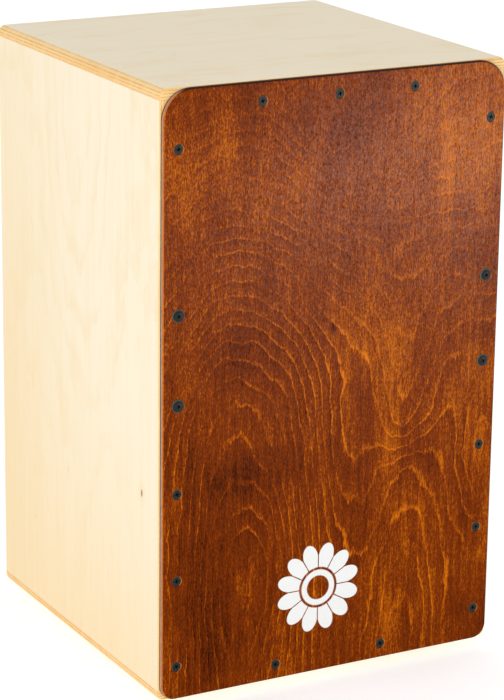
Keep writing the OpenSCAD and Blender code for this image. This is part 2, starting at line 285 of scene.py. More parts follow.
def every(*tests):
    """A test that all of these tests pass."""
    return lambda corners: all(test(corners) for test in tests)


def either(*tests):
    """A test that at least one of these tests passes."""
    return lambda corners: any(test(corners) for test in tests)


def rounded(piece, test, radius, segments):
    """Rounds over the edges that pass the test."""
    choose(piece, "edges", test)
    bpy.ops.mesh.bevel(offset=radius, segments=segments, affect="EDGES")
    done()


def drilled(piece, cutter):
    """Cuts the cutter's shape out of a piece, and removes the cutter."""
    only(piece)
    hole = piece.modifiers.new("Hole", "BOOLEAN")
    hole.operation = "DIFFERENCE"
    hole.solver = "EXACT"
    hole.object = cutter
    bpy.ops.object.modifier_apply(modifier=hole.name)
    bpy.data.objects.remove(cutter)


def outward():
    """Merges doubled points in edit mode and turns all faces outwards."""
    bpy.ops.mesh.select_all(action="SELECT")
    bpy.ops.mesh.remove_doubles(threshold=0.2 * TOUCH)
    bpy.ops.mesh.normals_make_consistent(inside=False)


def turned(name, profile, segments):
    """A round solid about Z: a disc extruded and scaled through (radius, height) steps."""
    (radius, height), *steps = profile
    only()
    bpy.ops.mesh.primitive_circle_add(vertices=segments, radius=radius, fill_type="NGON",
                                      location=(0, 0, height))
    piece = added(name)
    choose(piece, "polygons", lambda corners: True)
    for next_radius, next_height in steps:
        move = {"value": (0, 0, next_height - height)}
        bpy.ops.mesh.extrude_region_move(TRANSFORM_OT_translate=move)
        ratio = next_radius / radius
        bpy.ops.transform.resize(value=(ratio, ratio, 1), center_override=(0, 0, next_height))
        radius, height = next_radius, next_height
    outward()
    done()
    return piece


def arc(centre, radius, start, end, steps):
    """Points on an arc in a (radius, height) profile, from one angle to another in degrees."""
    angles = [math.radians(start + (end - start) * step / steps) for step in range(steps + 1)]
    return [(centre[0] + radius * math.cos(angle), centre[1] + radius * math.sin(angle)) for angle in angles]


def coiled(name, radius, wire, pitch, turns, steps, sides):
    """A wire wound up about Z from z = 0 and closed at both ends; three sides make a thread."""
    only()
    bpy.ops.mesh.primitive_circle_add(vertices=sides, radius=wire / 2, location=(radius, 0, 0),
                                      rotation=(math.pi / 2, math.pi / 2, 0))
    piece = added(name)
    wind = piece.modifiers.new("Wind", "SCREW")
    wind.axis = "Z"
    wind.angle = math.tau
    wind.screw_offset = pitch
    wind.iterations = turns
    wind.steps = steps
    wind.render_steps = steps
    bpy.ops.object.modifier_apply(modifier=wind.name)
    choose(piece, "edges", lambda corners: True)
    bpy.ops.mesh.fill_holes(sides=sides)
    outward()
    done()
    return piece


def copied(piece, *places):
    """Copies of a piece, each with its own mesh, moved by a matrix each; the piece itself is removed."""
    copies = []
    for place in places:
        twin = piece.copy()
        twin.data = piece.data.copy()
        twin.data.transform(place)
        bpy.context.scene.collection.objects.link(twin)
        copies.append(twin)
    bpy.data.objects.remove(piece)
    return copies


def joined(name, pieces):
    """One object of several pieces, named."""
    only(*pieces)
    if len(pieces) > 1:
        bpy.ops.object.join()
    return named(bpy.context.active_object, name)


def drilled_forward(piece, cutter, spots):
    """Cuts a cutter out of a piece at each spot, with the cutter's +Z turned to the front."""
    places = [Matrix.Translation(spot) @ FORWARD for spot in spots]
    drilled(piece, joined("Holes", copied(cutter, *places)))


def seen_from_front(node, y):
    """The middles of a node's solids, moved to one depth."""
    return [Vector((spot.x, y, spot.z)) for spot in map(middle, solids(node))]


def settled(piece, node, material, smooth=35):
    """Smooths a finished piece and lets it stand for its CAD node, on that node's body and with the given
    material.
    """
    only(piece)
    bpy.ops.object.shade_smooth_by_angle(angle=math.radians(smooth))
    weigh = piece.modifiers.new("Weighted normals", "WEIGHTED_NORMAL")
    weigh.keep_sharp = True
    bpy.ops.object.modifier_apply(modifier=weigh.name)
    piece.data.materials.clear()
    piece.data.materials.append(material)
    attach(piece, BODY[node])
    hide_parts(node)
    return piece


def dressed(node, material):
    """Gives a CAD node one material."""
    mesh = frame["nodes"][node].data
    mesh.materials.clear()
    mesh.materials.append(material)


# ---- Shader wiring ----


class Wire:
    """A socket in a material's node tree. Arithmetic on it adds Math nodes."""

    def __init__(self, graph, socket):
        self.graph = graph
        self.socket = socket

    def output(self, name):
        """Another output of the node that this wire leaves."""
        return Wire(self.graph, self.socket.node.outputs[name])

    def __add__(self, other):
        return self.graph.math("ADD", self, other)

    def __sub__(self, other):
        return self.graph.math("SUBTRACT", self, other)

    def __rsub__(self, other):
        return self.graph.math("SUBTRACT", other, self)

    def __mul__(self, other):
        return self.graph.math("MULTIPLY", self, other)

    def __truediv__(self, other):
        return self.graph.math("DIVIDE", self, other)

    def __pow__(self, other):
        return self.graph.math("POWER", self, other)

    __radd__ = __add__
    __rmul__ = __mul__


class Graph:
    """A material being wired up around one Principled shader."""

    def __init__(self, name):
        self.material = bpy.data.materials.new(name)
        self.material.use_nodes = True
        self.tree = self.material.node_tree
        self.shader = self.tree.nodes["Principled BSDF"]
        here = self.node("ShaderNodeTexCoord")
        self.place = here.output("Object")
        self.facing = here.output("Normal")

    def node(self, kind, settings=None, sockets=None):
        """Adds a node: its settings first, then a value or a wire for each named or numbered socket."""
        made = self.tree.nodes.new(kind)
        for name, value in (settings or {}).items():
            if name == "stops":
                self.set_stops(made.color_ramp, value)
            else:
                setattr(made, name, value)
        for key, value in (sockets or {}).items():
            self.feed(made.inputs[key], value)
        shown = [socket for socket in made.outputs if socket.enabled]
        return Wire(self, shown[0])

    def set_stops(self, ramp, stops):
        """Sets a colour ramp's stops from a list of (position, colour)."""
        while len(ramp.elements) < len(stops):
            ramp.elements.new(1.0)
        for element, (position, colour) in zip(ramp.elements, stops):
            element.position = position
            element.color = (*colour, 1.0)

    def feed(self, socket, value):
        """Links a wire to a socket, or sets the socket's own value."""
        if isinstance(value, Wire):
            self.tree.links.new(value.socket, socket)
        elif socket.type == "RGBA":
            socket.default_value = (*value[:3], 1.0)
        else:
            socket.default_value = value

    def set(self, **sockets):
        """Feeds the shader's sockets; an underscore in a name stands for a space."""
        for name, value in sockets.items():
            self.feed(self.shader.inputs[name.replace("_", " ")], value)

    def math(self, operation, a, b=0.0):
        """A Math node on two values."""
        return self.node("ShaderNodeMath", {"operation": operation}, {0: a, 1: b})

    def split(self, vector):
        """The x, y and z of a vector."""
        parts = self.node("ShaderNodeSeparateXYZ", {}, {0: vector})
        return [parts.output(name) for name in "XYZ"]

    def vector(self, x, y, z=0.0):
        """A vector of three values."""
        return self.node("ShaderNodeCombineXYZ", {}, {0: x, 1: y, 2: z})

    def noise(self, vector, scale, detail=2.0, roughness=0.5, seed=0.0):
        """Noise around zero, from about -0.5 to 0.5; scale is in patches a metre along each axis."""
        spread = self.node("ShaderNodeMapping", {}, {"Vector": vector, "Scale": scale,
                                                     "Location": (seed, seed * 2.3, seed * 3.7)})
        return self.node("ShaderNodeTexNoise", {}, {"Vector": spread, "Scale": 1.0, "Detail": detail,
                                                    "Roughness": roughness}) - 0.5

    def drawn(self, axis, along, across, detail, roughness, seed):
        """Noise drawn out along an axis, with its patches a metre along that axis and across it."""
        scale = [across] * 3
        scale[axis] = along
        return self.noise(self.place, scale, detail, roughness, seed)

    def even(self, patches, detail, roughness, seed):
        """Noise that is the same in all directions."""
        return self.noise(self.place, [patches] * 3, detail, roughness, seed)

    def ease(self, value, low, high, to_low=0.0, to_high=1.0):
        """Value taken smoothly from low..high to to_low..to_high, and held at the ends."""
        return self.node("ShaderNodeMapRange", {"interpolation_type": "SMOOTHSTEP"},
                         {0: value, 1: low, 2: high, 3: to_low, 4: to_high})

    def mix(self, factor, a, b):
        """Colour a towards colour b by factor."""
        return self.node("ShaderNodeMix", {"data_type": "RGBA", "clamp_factor": True},
                         {"Factor": factor, 6: a, 7: b})

    def ramp(self, value, *stops):
        """A colour picked by value from (position, colour) stops."""
        return self.node("ShaderNodeValToRGB", {"stops": stops}, {0: value})

    def bump(self, height, distance):
        """Wires a height in units of distance (metres) to the shader's normal."""
        self.set(Normal=self.node("ShaderNodeBump", {}, {"Height": height, "Distance": distance}))


def ridge(graph, across, x, half_width):
    """A smooth ridge from 0 to 1 along a line, given in millimetres."""
    dx = (across - x * MM) / (half_width * MM)
    return graph.math("EXPONENT", dx * dx * -1.0)


def hill(graph, across, along, x, z, half_width, half_length, rise):
    """A round hill in a height field, with its middle and half sizes in millimetres."""
    dx = (across - x * MM) / (half_width * MM)
    dz = (along - z * MM) / (half_length * MM)
    return graph.math("EXPONENT", (dx * dx + dz * dz) * -1.0) * rise


def hills(graph, across, along, *places):
    """Hills added up."""
    height = hill(graph, across, along, *places[0])
    for place in places[1:]:
        height = height + hill(graph, across, along, *place)
    return height


def growth_rings(graph, across, along, height, seed, wander, feather):
    """Rings of a peeled veneer: how far a point lies through its ring, and how strongly the ring shows.

    The rings are the level lines of a rolling height, one ring apart. They wander, and the fibres feather
    them along the grain.
    """
    flat = graph.vector(across, along)
    rough = (graph.noise(flat, (520, 60, 1), 2, 0.6, seed + 2) * 0.34
             + graph.noise(flat, (1500, 160, 1), 1, 0.5, seed + 3) * 0.30)
    height = (height + graph.noise(flat, (14, 6, 1), 2, 0.5, seed) * wander
              + graph.noise(flat, (60, 26, 1), 2, 0.55, seed + 1) * wander * 0.55 + rough * feather)
    strength = graph.ease(graph.noise(flat, (30, 16, 1), 3, 0.5, seed + 4), -0.12, 0.16)
    return graph.math("FRACT", height + 40.0), strength


# ---- Finishes ----


def birch_ply(node, thick, along, seed, plies, rises, knots=(), warm_tone_and_shade=()):
    """Clear lacquered birch plywood for a panel's board.

    thick is the axis through the plies and along is the axis of the face's grain. rises, knots and
    warm_tone_and_shade zones are (across, along, half width, half length, strength), in millimetres from the
    origin; the warm zones give a yellower, darker face that is partly the veneer's own tone and partly
    painted shade.
    """
    tones = bpy.context.scene.drum_boards
    low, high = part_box(node)
    graph = Graph("Birch ply " + node.split("_")[0])
    place = graph.split(graph.place)
    facing = graph.split(graph.facing)
    across = 3 - thick - along
    layer = (place[thick] - low[thick]) * (plies / (high[thick] - low[thick]))
    turned_ply = graph.math("GREATER_THAN", graph.math("FLOORED_MODULO", layer, 2.0), 1.0)
    straight_ply = 1 - turned_ply

    def by_ply(look):
        """A look that follows the grain, which every second ply has turned across the face's."""
        return look(along) * straight_ply + look(across) * turned_ply

    fibre = by_ply(lambda axis: graph.drawn(axis, 28, 900, 3, 0.6, seed))
    streak = by_ply(lambda axis: graph.drawn(axis, 5, 160, 3, 0.55, seed + 5))
    end_cut = by_ply(lambda axis: facing[axis] ** 2.0)
    height = hills(graph, place[across], place[along], *rises)
    ring, strength = growth_rings(graph, place[across], place[along], height, seed, 2.2, 0.7)
    late = graph.ease(ring, 0.45, 0.95) * graph.ease(ring, 1.0, 0.95)
    flame = late * (0.2 + 0.4 * strength)
    face = graph.mix(flame * 0.5 + fibre * 0.5 + streak * 0.55 + 0.04, tones.face, tones.growth)
    # Yellower, darker zones: partly the veneer's own tone and partly painted shade
    if warm_tone_and_shade:
        zone = hills(graph, place[across], place[along], *warm_tone_and_shade)
        face = graph.mix(zone + zone * streak * 0.6, face, tones.warm_tone_and_shade)
    for x, z, half_width, half_length, depth in knots:
        spot = hill(graph, place[across], place[along], x, z, half_width, half_length, depth)
        halo = hill(graph, place[across], place[along], x, z, 4 * half_width, 2.2 * half_length, depth / 2)
        face = graph.mix(graph.ease(spot, 0.25, 0.8), graph.mix(halo, face, tones.growth), tones.knot)
    edge_long = graph.mix(0.12 + streak * 1.5 + fibre * 0.8, tones.long_grain, tones.end_grain)
    edge_end = graph.mix(0.68 + fibre * 1.4 + streak * 1.2, tones.long_grain, tones.end_grain)
    edge = graph.mix(end_cut * 1.6, edge_long, edge_end)
    seam = graph.math("PINGPONG", layer, 0.5) * -1.0 + 0.5
    plies_under = graph.math("PINGPONG", layer, plies / 2)
    at_seam = graph.ease(seam, 0.07, 0.02) * graph.ease(plies_under, 0.3, 0.7)
    edge = graph.mix(at_seam * 0.7, edge, tones.glue)
    on_face = graph.ease(plies_under, 0.34, 0.10)
    graph.set(Base_Color=graph.mix(on_face, edge, face),
              Roughness=0.5 + fibre * 0.16 + (1 - on_face) * 0.12,
              Specular_IOR_Level=0.35)
    graph.bump(fibre * 0.8 + streak * 0.3 - end_cut * fibre * 0.4, 0.00008)
    return graph.material


def rosette(graph, across, along, centre, radius):
    """A printed rosette of twelve petals round a ring, as a mask."""
    dx = across - centre[0]
    dz = along - centre[1]
    reach = graph.math("SQRT", dx * dx + dz * dz) / radius
    angle = graph.math("ARCTAN2", dz, dx)
    petal = graph.math("ABSOLUTE", graph.math("SINE", angle * 6.0))
    soft = 0.012
    tip = 0.62 + 0.38 * petal ** 0.55
    petals = graph.ease(reach, tip + soft, tip - soft) * graph.ease(reach, 0.46 - soft, 0.46 + soft)
    gaps = graph.ease(petal * reach, 0.055, 0.085)
    ring = graph.ease(reach, 0.40 + soft, 0.40 - soft) * graph.ease(reach, 0.27 - soft, 0.27 + soft)
    return graph.math("MAXIMUM", petals * gaps, ring)


def plate_rings(graph, x, z):
    """Height of the plate's veneer: an arch at the left, a bowl at the top, a V and an arch at the right."""
    from_turn = (z - 250 * MM) / MM
    slope = z * (0.033 / MM) + graph.math("SQRT", from_turn * from_turn + 50 ** 2) * 0.029
    arch = ridge(graph, x, -106, 40) + ridge(graph, x, -54, 46)
    arch = graph.ease(z, 500 * MM, 210 * MM, 1.7, 6.2) * arch
    bowl = graph.ease(z, 350 * MM, 500 * MM, 0.0, 6.0) * ridge(graph, x, 30, 52)
    vee = graph.ease(z, 370 * MM, 240 * MM, 0.0, 3.4) * graph.ease(z, 160 * MM, 215 * MM)
    vee = vee * ridge(graph, x, 66, 26)
    return slope - arch + bowl + vee + hills(graph, x, z, (66, 30, 32, 120, -3.8), (140, 165, 24, 55, 3.0),
                                             (-72, 95, 38, 72, -3.5), (10, 200, 26, 60, 1.2),
                                             (-150, 150, 26, 120, -1.5))


def stained_veneer(name, node):
    """Red-brown stain under satin lacquer on a three-layer birch plate, with a printed rosette, a painted
    sheen at the upper right and painted light on its left edge.
    """
    tones = bpy.context.scene.drum_plate
    low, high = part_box(node)
    graph = Graph(name)
    x, y, z = graph.split(graph.place)
    facing = graph.split(graph.facing)
    flat = graph.vector(x, z)
    up = graph.ease(z, 130 * MM, 400 * MM)
    ring, strength = growth_rings(graph, x, z, plate_rings(graph, x, z), 3.1, 2.0, 0.75 - 0.4 * up)
    speckle = graph.noise(flat, (1150, 400, 1), 3, 0.7, 1.7)
    fibre = graph.noise(flat, (1900, 95, 1), 2, 0.6, 2.9)
    vessel = graph.ease(graph.noise(flat, (3400, 230, 1), 1, 0.5, 9.4), 0.08, 0.26)
    streak = graph.noise(flat, (260, 14, 1), 3, 0.6, 4.3)
    patch = graph.noise(flat, (22, 10, 1), 3, 0.55, 6.1)
    # Lighter and darker stain blotches; the broad lighter hills at the upper right are painted light, a
    # brighter pool where more light falls
    stain_blots_and_painted_light = hills(graph, x, z, (-95, 452, 9, 26, 0.17), (97, 400, 8, 34, 0.2), (-104, 100, 46, 85, -0.15),
                  (-76, 282, 24, 26, -0.13), (22, 448, 44, 30, -0.07), (138, 345, 28, 26, -0.15),
                  (108, 372, 14, 9, -0.12), (112, 440, 70, 70, 0.16), (-60, 185, 72, 20, -0.14),
                  (-100, 410, 60, 50, 0.04), (110, 250, 60, 90, 0.10), (-6, 150, 50, 60, 0.06),
                  (54, 345, 5, 6, 0.22), (64, 62, 16, 46, -0.08), (-2, 291, 8, 12, 0.15),
                  (-2, 291, 3, 5, -0.4))
    strength = 0.1 + 0.6 * strength + hills(graph, x, z, (-78, 285, 44, 24, 0.4), (-84, 160, 46, 34, 0.3),
                                            (0, 230, 36, 80, 0.4), (62, 190, 24, 60, 0.3),
                                            (-78, 370, 60, 44, 0.2), (-10, 110, 40, 50, 0.25))
    line = graph.ease(ring, 0.0, 0.06) * graph.ease(ring, 0.20, 0.09) * strength
    line = line * graph.ease(z, 455 * MM, 405 * MM, 0.35, 1.0)
    late = graph.ease(ring, 0.3, 1.0) * strength
    tone = (0.475 + speckle * (1.0 + 0.3 * up) + fibre * 0.7 + streak * (0.55 - 0.2 * up) + patch * 0.65
            + stain_blots_and_painted_light - vessel * 0.16 - late * 0.12 + line * (0.38 - 0.18 * up))
    wood = graph.ramp(tone, (0.0, tones.dark), (0.5, tones.mid), (1.0, tones.light))
    # Painted sheen: a whitish reflection of the lacquer, strongest at the upper right, painted into the
    # colour with a painted glint
    painted_glint = graph.noise(flat, (820, 480, 1), 3, 0.75, 7.7)
    painted_sheen_mask = hills(graph, x, z, (30, 425, 75, 75, 0.12), (125, 410, 60, 110, 0.13), (-60, 380, 110, 90, 0.055),
                  (40, 280, 150, 110, 0.025))
    wood = graph.mix(painted_sheen_mask * (1 + painted_glint * 9.0), wood, tones.painted_sheen)
    depth = (y - low.y) / (high.y - low.y)
    core = graph.ease(depth, 0.30, 0.34) * graph.ease(depth, 0.74, 0.70)
    side = graph.ease(graph.math("ABSOLUTE", facing[Y]), 0.96, 0.75)
    # Painted light: only the left edge, facing the key light, gets the painted highlight on the arris and the
    # grey painted reflection on the core; the other edges keep the dark stain
    lit_left_side = graph.ease(facing[X] * -1, 0.15, 0.6)
    arris = graph.mix(lit_left_side * (0.8 + speckle), tones.dark, tones.arris_highlight)
    outer = graph.mix(graph.ease(depth, 0.6, 0.4), tones.dark, arris)
    core_sheen_tone = graph.mix(lit_left_side * (0.92 - fibre), tones.dark, tones.core)
    edge = graph.mix(core, outer, core_sheen_tone)
    raw = bpy.context.scene.drum_boards
    inside = graph.mix(0.3 + speckle * 0.7 + late * 0.4, raw.face, raw.growth)
    colour = graph.mix(side, graph.mix(graph.ease(facing[Y], 0.2, 0.6), wood, inside), edge)
    centre = ((low.x + high.x) / 2 - 11 * MM, low.z + 71 * MM)
    front = graph.ease(depth, 0.2, 0.1) * (1 - side)
    print_mask = rosette(graph, x, z, centre, tones.mark_radius) * front
    graph.set(Base_Color=graph.mix(print_mask, colour, tones.mark),
              Roughness=0.40 + speckle * 0.16 + print_mask * 0.12,
              Specular_IOR_Level=0.02,
              Coat_Weight=side * 0.25,
              Coat_Roughness=0.3)
    graph.bump(speckle * 0.6 + fibre * 0.4 - vessel * 0.5 + line * 0.2 + print_mask * 0.25, 0.00010)
    return graph.material


def batten_pine(name, along, pith):
    """Planed pine; along is the axis of its grain and pith where its rings are centred, across the grain."""
    tones = bpy.context.scene.drum_woods
    graph = Graph(name)
    place = graph.split(graph.place)
    first, second = [axis for axis in (X, Y, Z) if axis != along]
    ring_width = 2.8 * MM
    drift = graph.drawn(along, 2.5, 30, 2, 0.5, pith[0] * 100)
    dx = place[first] - pith[0] + drift * 0.012
    dz = place[second] - pith[1]
    ring = graph.math("FRACT", graph.math("SQRT", dx * dx + dz * dz) / ring_width + drift * 0.6)
    fibre = graph.drawn(along, 45, 1300, 3, 0.6, 1.3)
    late = graph.ease(ring, 0.3, 0.85) * graph.ease(ring, 1.0, 0.88)
    end = graph.ease(graph.math("ABSOLUTE", graph.split(graph.facing)[along]), 0.6, 0.9)
    shade = late * 0.75 + fibre * 0.6 + end * 0.3
    graph.set(Base_Color=graph.mix(shade, tones.pine, tones.pine_ring), Roughness=0.62 + fibre * 0.2,
              Specular_IOR_Level=0.3)
    graph.bump(fibre + late * 0.3, 0.00008)
    return graph.material


def turned_beech(name, along):
    """Steamed beech with its short dark flecks; along is the axis of its grain."""
    tones = bpy.context.scene.drum_woods
    graph = Graph(name)
    fleck = graph.ease(graph.drawn(along, 240, 1600, 1, 0.5, 2.1), 0.13, 0.2)
    streak = graph.drawn(along, 9, 420, 3, 0.6, 5.7)
    graph.set(Base_Color=graph.mix(fleck * 0.7 + streak * 0.9 + 0.1, tones.beech, tones.beech_fleck),
              Roughness=0.5 + streak * 0.2, Specular_IOR_Level=0.35)
    graph.bump(streak - fleck * 0.4, 0.00005)
    return graph.material


def black_steel(name):
    """Blackened steel, rubbed paler where the worn attribute says."""
    tones = bpy.context.scene.drum_screws
    graph = Graph(name)
    rub = graph.node("ShaderNodeAttribute", {"attribute_name": "worn"}).output("Fac")
    grime = graph.even(900, 3, 0.6, 0.7)
    worn = graph.ease(rub + grime * 0.7, 0.2, 1.0)
    graph.set(Base_Color=graph.mix(worn, tones.black, tones.worn), Metallic=worn * 0.5,
              Roughness=0.42 + grime * 0.25, Specular_IOR_Level=0.22)
    graph.bump(grime, 0.00004)
    return graph.material


def plated_steel(name, colour, roughness, stretch):
    """Bright steel with faint drawing marks; stretch is how many marks a metre lie along each axis."""
    graph = Graph(name)
    marks = graph.noise(graph.place, stretch, 2, 0.6, 3.3)
    cloud = graph.even(90, 2, 0.5, 8.1)
    dull = tuple(part * 0.72 for part in colour)
    graph.set(Base_Color=graph.mix(0.35 + marks * 0.6 + cloud * 0.9, colour, dull), Metallic=1.0,
              Roughness=roughness + marks * 0.16 + cloud * 0.1)
    graph.bump(marks, 0.00002)
    return graph.material


def moulded_rubber(name):
    """Black rubber with a fine mould texture and a little dust on it."""
    tones = bpy.context.scene.drum_feet
    graph = Graph(name)
    grit = graph.even(2600, 2, 0.6, 1.9)
    dust = graph.ease(graph.even(160, 3, 0.6, 4.9), 0.0, 0.3)
    pale = tuple(part + 0.03 for part in tones.rubber)
    graph.set(Base_Color=graph.mix(dust * 0.5 + grit * 0.3, tones.rubber, pale), Roughness=0.72 + grit * 0.2)
    graph.bump(grit, 0.00008)
    return graph.material


# ---- Boards ----


def plain_board(node):
    """A block the size of a panel, which is a board before its edges are rounded."""
    return block(node.replace("_panel", "_board"), *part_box(node))


def lid(node, outer, mate):
    """Top or bottom board: outer is the height of its free face and mate that of the joint."""
    sizes = bpy.context.scene.drum_boards
    low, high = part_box(node)
    board = plain_board(node)
    at_side = either(lies(X, low.x), lies(X, high.x))
    at_outer = lies(Z, outer)
    at_back = lies(Y, high.y)
    rounded(board, either(every(at_side, at_outer), every(at_back, at_outer), every(at_side, at_back)),
            sizes.edge_round, 6)
    at_mate = lies(Z, mate)
    rounded(board, lambda corners: lies(Y, low.y)(corners) and not at_mate(corners), sizes.front_round, 4)
    rounded(board, at_mate, sizes.arris, 1)
    return board


def side_board(node, outer):
    """Side board whose free face lies at x = outer."""
    sizes = bpy.context.scene.drum_boards
    low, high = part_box(node)
    board = plain_board(node)
    at_outer = lies(X, outer)
    rounded(board, every(at_outer, lies(Y, high.y)), sizes.edge_round, 6)
    rounded(board, every(at_outer, lies(Y, low.y)), sizes.front_round, 4)
    inner = low.x + high.x - outer
    ends = either(lies(Z, low.z), lies(Z, high.z))
    inside = every(lies(X, inner), either(lies(Y, low.y), lies(Y, high.y)))
    rounded(board, either(ends, inside), sizes.arris, 1)
    return board


def back_board(node):
    """Back board with its sound hole."""
    sizes = bpy.context.scene.drum_boards
    low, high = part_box(node)
    board = plain_board(node)
    rounded(board, lies(Y, high.y), sizes.arris, 1)
    mount = next(row for row in frame["record"]["mounts"] if row["name"] == "sound_hole")
    centre = Vector(mount["pos_m"])
    radius = mount["dims"]["r_mm"] * MM
    cutter = turned("Sound hole", [(radius, -PAST), (radius, high.y - low.y + PAST)], 160)
    drilled_forward(board, cutter, [(centre.x, high.y, centre.z)])
    near = 0.1 * MM

    def on_rim(corners):
        reach = [math.hypot(corner.x - centre.x, corner.z - centre.z) for corner in corners]
        return all(abs(part - radius) < near for part in reach)

    rounded(board, every(on_rim, lies(Y, high.y)), sizes.rim_round, 4)
    rounded(board, every(on_rim, lies(Y, low.y)), sizes.arris, 1)
    return board


class DRUM_OT_boards(bpy.types.Operator):
    """Models the five plywood boards with their rounded edges and the sound hole"""

    bl_idname = "drum.boards"
    bl_label = "Make boards"

    def execute(self, context):
        sizes = context.scene.drum_boards
        top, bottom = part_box("top_panel"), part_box("bottom_panel")
        left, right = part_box("left_side_panel"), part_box("right_side_panel")
        front, base = left[0].y / MM, bottom[0].z / MM
        knots = [(front + 27.7, base + 162.3, 1.3, 3.4, 1.0), (front + 161.3, base + 140.3, 0.9, 4.6, 0.45),
                 (front + 225.3, base + 79.5, 1.2, 1.6, 0.45)]

        def finished(board, node, *ply):
            settled(board, node, birch_ply(node, *ply))

        finished(lid("top_panel", top[1].z, top[0].z), "top_panel", Z, X, 1.3, sizes.plies,
                 [(60, 20, 60, 200, 2.0)])
        finished(lid("bottom_panel", bottom[0].z, bottom[1].z), "bottom_panel", Z, X, 2.3, sizes.plies,
                 [(-40, -30, 70, 220, 3.0)])
        finished(side_board("left_side_panel", left[0].x), "left_side_panel", X, Z, 3.7, sizes.plies,
                 [(0, 470, 50, 190, -4.0), (70, 40, 60, 260, 3.0), (-60, 60, 40, 150, 2.0)], knots,
                 [(170, 120, 130, 330, 0.75), (-60, -20, 180, 150, 0.7)])
        finished(side_board("right_side_panel", right[1].x), "right_side_panel", X, Z, 4.9, sizes.plies,
                 [(20, 60, 60, 240, 5.0), (-80, 430, 50, 130, -3.0)], [(-30, 330, 1.2, 3.0, 0.6)])
        finished(back_board("back_panel"), "back_panel", Y, Z, 5.3, sizes.back_plies,
                 [(-50, 90, 60, 260, 6.0), (90, 420, 50, 150, 4.0)], [(80, 150, 1.3, 2.8, 0.6)])
        return {"FINISHED"}


# ---- Front plate ----


class DRUM_OT_plate(bpy.types.Operator):
    """Models the front plate with its rounded corners and edge, countersunk holes and plain holes"""

    bl_idname = "drum.plate"
    bl_label = "Make front plate"

    def execute(self, context):
        sizes = context.scene.drum_plate
        screws = context.scene.drum_screws
        low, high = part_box("front_plate")
        plate = block("tapping_plate", low, high)
        at_side = either(lies(X, low.x), lies(X, high.x))
        rounded(plate, every(at_side, lies(Z, high.z)), sizes.top_corner, 18)
        rounded(plate, every(at_side, lies(Z, low.z)), sizes.bottom_corner, 12)
        rounded(plate, lies(Y, low.y), sizes.edge_round, 6)
        through = low.y - high.y - PAST
        slope = (screws.head - screws.shank) / 2 / screws.head_depth
        rim = screws.head / 2 + sizes.rim
        radius = sizes.hole / 2
        cone = (rim - radius) / slope
        sink = turned("Countersink", [(rim + PAST * slope, PAST), (rim, 0), (radius, -cone),
                                      (radius, through)], 32)
        drilled_forward(plate, sink, seen_from_front("front_plate_screws", low.y))
        bore = turned("Bore", [(sizes.dome_hole / 2, PAST), (sizes.dome_hole / 2, through)], 32)
        drilled_forward(plate, bore, seen_from_front("bearing_block_screws", low.y))
        settled(plate, "front_plate", stained_veneer("Stained veneer", "front_plate"))
        return {"FINISHED"}


# ---- Screws ----


def cross_cut(head, reach, width, depth, top):
    """Presses a tapered cross recess into a head whose top is at the given height."""
    above = top + 0.6 * MM
    floor = top - depth
    taper = (0.42, 0.7, 1)
    for turn in (0, math.pi / 2):
        wing = block("Wing", Vector((-reach / 2, -width / 2, floor)), Vector((reach / 2, width / 2, above)))
        choose(wing, "polygons", lies(Z, floor))
        bpy.ops.transform.resize(value=taper, center_override=(0, 0, floor))
        done()
        wing.data.transform(Matrix.Rotation(turn, 4, "Z"))
        drilled(head, wing)
    drilled(head, turned("Pit", [(reach * 0.24, above), (reach * 0.2, top - depth * 0.6),
                                 (reach * 0.05, top - depth * 1.15)], 16))


def threaded(name, head, shank_d, shank_l, pitch, neck):
    """A head with a pointed shank and its thread below z = 0; neck is the plain length under the head."""
    tip = shank_d * 1.2
    root = shank_d / 2 * 0.78
    shank = turned("Shank", [(root, neck * -0.5), (root, tip - shank_l), (root * 0.55, tip * 0.45 - shank_l),
                             (root * 0.08, -shank_l)], 16)
    turns = int((shank_l - tip - neck) / pitch)
    thread = coiled("Thread", root + 0.04 * MM, 2 * (shank_d / 2 - root), pitch, turns, 16, 3)
    thread.data.transform(Matrix.Translation((0, 0, tip - shank_l)))
    return joined(name, [head, shank, thread])


def rub(screw, rim, top, spread):
    """Marks how worn a head is: fully at its rim, fading out over the spread."""
    attribute = screw.data.attributes.new("worn", "FLOAT", "POINT")
    for vertex, value in zip(screw.data.vertices, attribute.data):
        reach = math.hypot(vertex.co.x, vertex.co.y)
        if abs(vertex.co.z - top) < spread * 2:
            value.value = max(0.0, 1 - abs(reach - rim) / spread)


def countersunk_screw(sizes, screw_l):
    """Countersunk cross-head screw with the middle of its head's top at the origin."""
    rim = sizes.head / 2
    neck = sizes.shank / 2
    edge = 0.18 * MM
    head = turned("Head", [(rim * 0.35, 0), (rim - 2.4 * edge, -0.02 * MM), (rim - edge, -0.06 * MM),
                           (rim, -edge), (rim, -2 * edge), (neck, -sizes.head_depth),
                           (neck * 0.8, -sizes.head_depth - edge)], 40)
    cross_cut(head, sizes.recess, sizes.slot, sizes.slot_depth, 0)
    screw = threaded("Countersunk screw", head, sizes.shank, screw_l, sizes.pitch, sizes.head_depth * 2)
    rub(screw, rim, 0, 0.35 * MM)
    return screw


